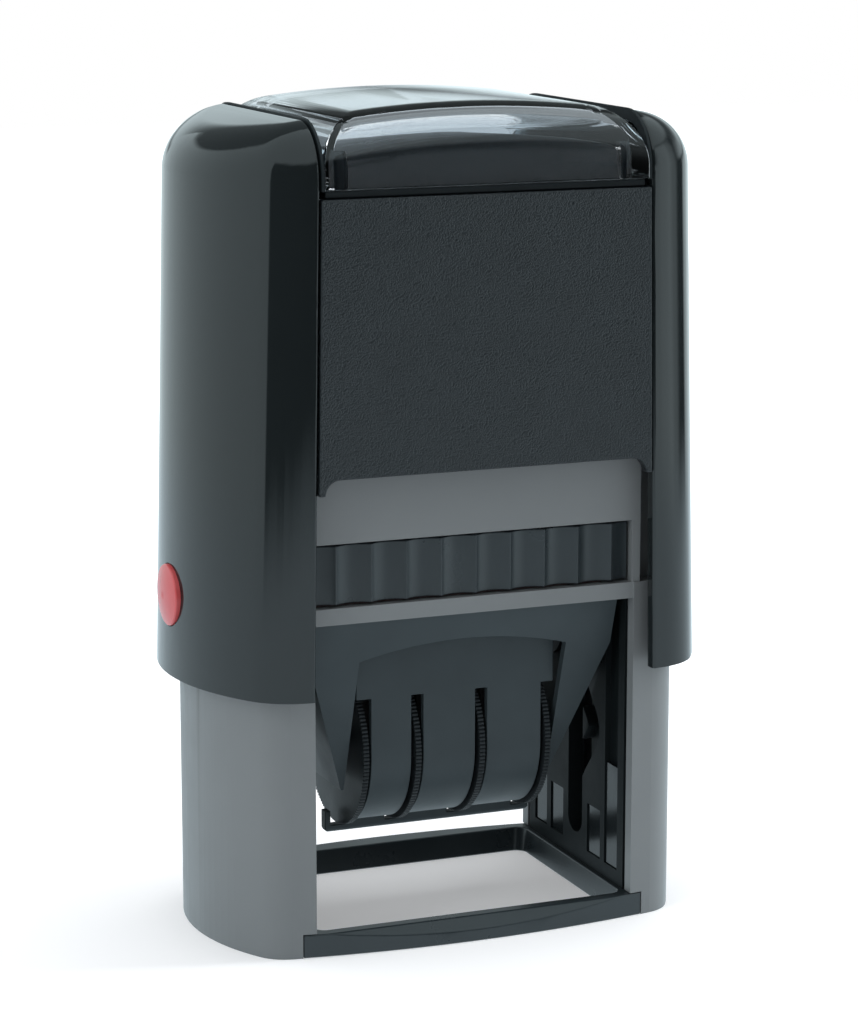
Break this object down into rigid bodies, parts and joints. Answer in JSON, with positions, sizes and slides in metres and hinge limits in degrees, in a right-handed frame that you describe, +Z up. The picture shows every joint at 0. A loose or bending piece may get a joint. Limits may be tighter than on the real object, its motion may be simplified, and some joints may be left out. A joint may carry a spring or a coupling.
{
  "type": "self-inking date and time stamp",
  "caption": "Self-inking hand stamp: pressing the sprung cap turns the type carriage with its date wheels down through the foot.",
  "frame": {"origin": "middle of the face that the foot stands on", "axes": "+Z up towards the cap, front with the pad grip towards -Y, +X to the right seen from the front"},
  "size_m": [0.0746, 0.0436, 0.1106],
  "materials": {
    "shell_black": "glossy near-black with a green-grey tint",
    "panel_black": "matt black with a fine leather grain",
    "base_grey": "satin mid grey",
    "inner_black": "satin near-black",
    "guide_black": "satin black",
    "carriage_black": "satin near-black",
    "wheel_black": "satin black, toothed",
    "band_rubber": "dull rubber",
    "type_rubber": "dull rubber, ink-stained",
    "ink_felt": "inked felt",
    "clear_window": "clear moulded plastic",
    "button_red": "glossy red",
    "steel": "bright drawn steel"
  },
  "bodies": {
    "base": {"base_housing": "base_grey", "foot_frame": "inner_black", "guide_plate_left": "guide_black", "guide_plate_right": "guide_black", "return_spring": "steel"},
    "cap": {"cap_bridge": "inner_black", "side_shell_left": "shell_black", "side_shell_right": "shell_black", "front_panel": "panel_black", "rear_panel": "panel_black", "pivot_pin_left": "steel", "pivot_pin_right": "steel"},
    "window": {"index_window": "clear_window"},
    "lock_left": {"lock_button_left": "button_red"},
    "lock_right": {"lock_button_right": "button_red"},
    "pad": {"pad_cassette": "inner_black", "ink_pad": "ink_felt"},
    "carriage": {"carriage_frame": "carriage_black", "wheel_guard": "carriage_black", "text_plate": "carriage_black", "text_rubber": "type_rubber", "print_bridge": "carriage_black", "date_band_1": "band_rubber", "date_band_2": "band_rubber", "date_band_3": "band_rubber", "date_band_4": "band_rubber", "wheel_axle": "steel"},
    "wheel_1": {"setting_wheel_1": "wheel_black"},
    "wheel_2": {"setting_wheel_2": "wheel_black"},
    "wheel_3": {"setting_wheel_3": "wheel_black"},
    "wheel_4": {"setting_wheel_4": "wheel_black"}
  },
  "joints": [
    {"name": "cap_press", "type": "slide", "parent": "base", "child": "cap", "axis": [0, 0, 1], "range_m": [-0.028, 0], "stiffness_N_per_m": 400, "springref_m": 0.01, "deforming": ["return_spring"]},
    {"name": "carriage_turn", "type": "hinge", "parent": "cap", "child": "carriage", "pos_m": [0, 0, 0.03725], "axis": [-1, 0, 0], "range_deg": [0, 180]},
    {"name": "pad_slide", "type": "slide", "parent": "base", "child": "pad", "axis": [0, -1, 0], "range_m": [0, 0.036]},
    {"name": "lock_button_left_press", "type": "slide", "parent": "cap", "child": "lock_left", "axis": [1, 0, 0], "range_m": [0, 0.0012], "stiffness_N_per_m": 800, "springref_m": -0.0005},
    {"name": "lock_button_right_press", "type": "slide", "parent": "cap", "child": "lock_right", "axis": [-1, 0, 0], "range_m": [0, 0.0012], "stiffness_N_per_m": 800, "springref_m": -0.0005},
    {"name": "window_lift", "type": "slide", "parent": "cap", "child": "window", "axis": [0, 0, 1], "range_m": [0, 0.015]},
    {"name": "wheel_1_turn", "type": "hinge", "parent": "carriage", "child": "wheel_1", "pos_m": [0, 0, 0.0237], "axis": [1, 0, 0], "continuous": true},
    {"name": "wheel_2_turn", "type": "hinge", "parent": "carriage", "child": "wheel_2", "pos_m": [0, 0, 0.0237], "axis": [1, 0, 0], "continuous": true},
    {"name": "wheel_3_turn", "type": "hinge", "parent": "carriage", "child": "wheel_3", "pos_m": [0, 0, 0.0237], "axis": [1, 0, 0], "continuous": true},
    {"name": "wheel_4_turn", "type": "hinge", "parent": "carriage", "child": "wheel_4", "pos_m": [0, 0, 0.0237], "axis": [1, 0, 0], "continuous": true}
  ],
  "couplings": [
    {"joint": "carriage_turn", "follows": "cap_press", "rad_per_m": -112.2}
  ]
}
